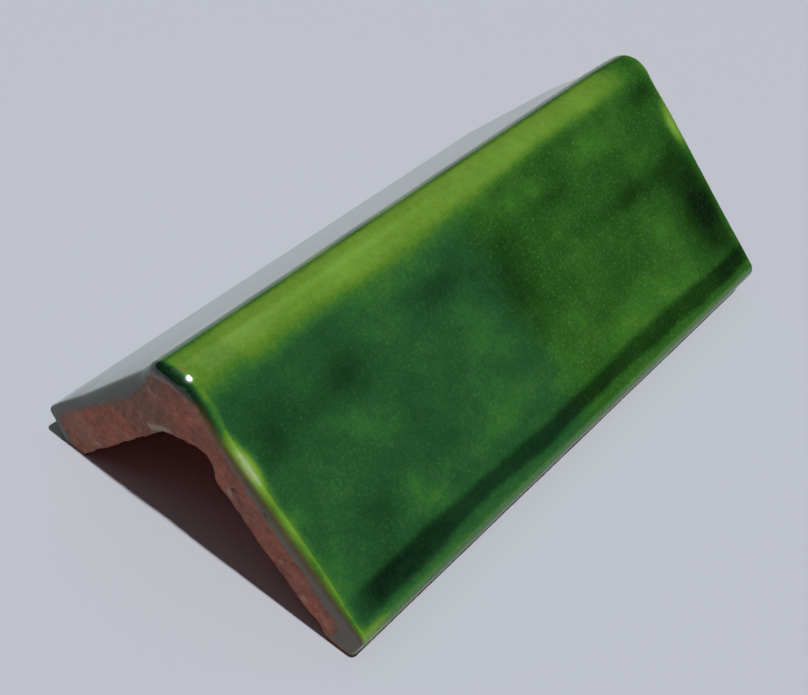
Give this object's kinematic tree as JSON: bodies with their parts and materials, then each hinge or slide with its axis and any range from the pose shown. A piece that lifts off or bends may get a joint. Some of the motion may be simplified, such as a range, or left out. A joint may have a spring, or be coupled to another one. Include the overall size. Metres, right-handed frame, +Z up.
{
  "type": "v-cap trim tile",
  "caption": "V-shaped ceramic trim tile: two glazed legs meet at a rounded crest over a bare clay hollow, and both ends are cut on a slight rake.",
  "frame": {"origin": "on the floor under the crest, midway between the two legs and midway along the crest", "axes": "+Y along the crest, +X across the two legs, +Z up from the feet to the crest"},
  "size_m": [0.09, 0.1522, 0.0498],
  "materials": {
    "glazed_clay": "gloss"
  },
  "bodies": {
    "root": {"v_cap_tile": "glazed_clay"}
  },
  "joints": []
}
